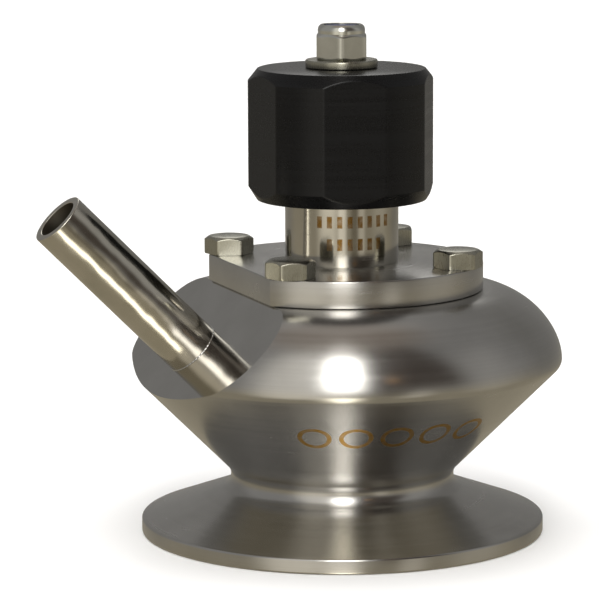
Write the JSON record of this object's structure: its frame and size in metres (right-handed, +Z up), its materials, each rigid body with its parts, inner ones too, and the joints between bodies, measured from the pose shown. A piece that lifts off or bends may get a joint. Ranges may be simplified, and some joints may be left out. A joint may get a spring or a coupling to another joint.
{
  "type": "diaphragm valve",
  "caption": "Hand-operated radial diaphragm valve with a clamp ferrule at its base, a waisted bowl, a slanted outlet tube, a bolted bonnet and a turning knob.",
  "frame": {"origin": "centre of the clamp ferrule's flat face, on the valve's axis", "axes": "+Z up along the valve's axis towards the knob; -X is the side of the outlet tube"},
  "size_m": [0.1204, 0.099, 0.1144],
  "materials": {
    "turned_steel": "fine turned, satin",
    "polished_steel": "polished",
    "bolt_steel": "bright, slightly yellow",
    "black_plastic": "machined black plastic, satin",
    "bronze": "turned",
    "black_rubber": "moulded",
    "white_elastomer": "moulded, matt",
    "nylon": "moulded"
  },
  "bodies": {
    "valve": {"valve_body": "turned_steel", "outlet_tube": "polished_steel", "bonnet_flange": "turned_steel", "stem_housing": "polished_steel", "bonnet_bolt_1": "bolt_steel", "bonnet_bolt_2": "bolt_steel", "bonnet_bolt_3": "bolt_steel", "bonnet_bolt_4": "bolt_steel", "diaphragm": "white_elastomer", "anti_turn_pin": "bolt_steel", "thread_bush": "bronze", "guide_bush": "bronze", "guide_circlip": "bolt_steel", "stem_seal": "black_rubber"},
    "plug_carriage": {"compressor": "turned_steel", "diaphragm_stud": "bolt_steel", "stem_retainer": "bolt_steel", "thrust_washer": "bronze"},
    "hand_wheel": {"hand_knob": "black_plastic", "spindle": "polished_steel", "knob_washer": "bolt_steel", "lock_nut": "bolt_steel", "nut_insert": "nylon"}
  },
  "joints": [
    {"name": "plug_lift", "type": "slide", "parent": "valve", "child": "plug_carriage", "axis": [0, 0, 1], "range_m": [0, 0.004], "deforming": ["diaphragm"]},
    {"name": "knob_turn", "type": "hinge", "parent": "plug_carriage", "child": "hand_wheel", "pos_m": [0, 0, 0.09], "axis": [0, 0, 1], "range_deg": [0, 720]}
  ],
  "couplings": [
    {"joint": "plug_lift", "follows": "knob_turn", "m_per_rad": 0.00031831}
  ]
}
